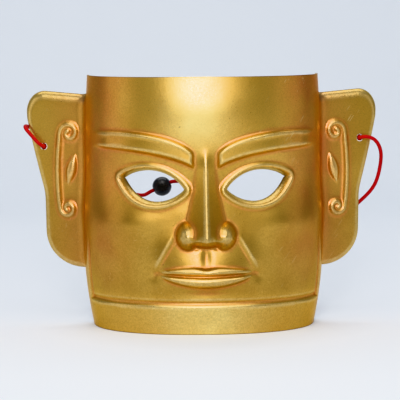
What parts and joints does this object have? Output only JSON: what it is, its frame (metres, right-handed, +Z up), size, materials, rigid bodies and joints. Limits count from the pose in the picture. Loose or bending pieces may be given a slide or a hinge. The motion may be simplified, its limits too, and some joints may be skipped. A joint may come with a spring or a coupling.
{
  "type": "full face costume mask",
  "caption": "Gold-painted formed plastic mask with side ears and eye openings, worn on a red elastic cord with a black bead.",
  "frame": {"origin": "level of the shell's standing edge, under the middle of the box round the shell, its ears and its nose", "axes": "+X to the right as the mask is looked at, -Y out of the front of the face, +Z up"},
  "size_m": [0.2927, 0.1625, 0.2],
  "materials": {
    "gold_paint": "satin metallic gold paint with an orange tint in its recesses",
    "red_cord": "braided elastic",
    "black_plastic": "smooth"
  },
  "bodies": {
    "root": {"mask_shell": "gold_paint", "elastic_cord": "red_cord", "cord_bead": "black_plastic", "left_knot": "red_cord", "right_knot": "red_cord"}
  },
  "joints": []
}
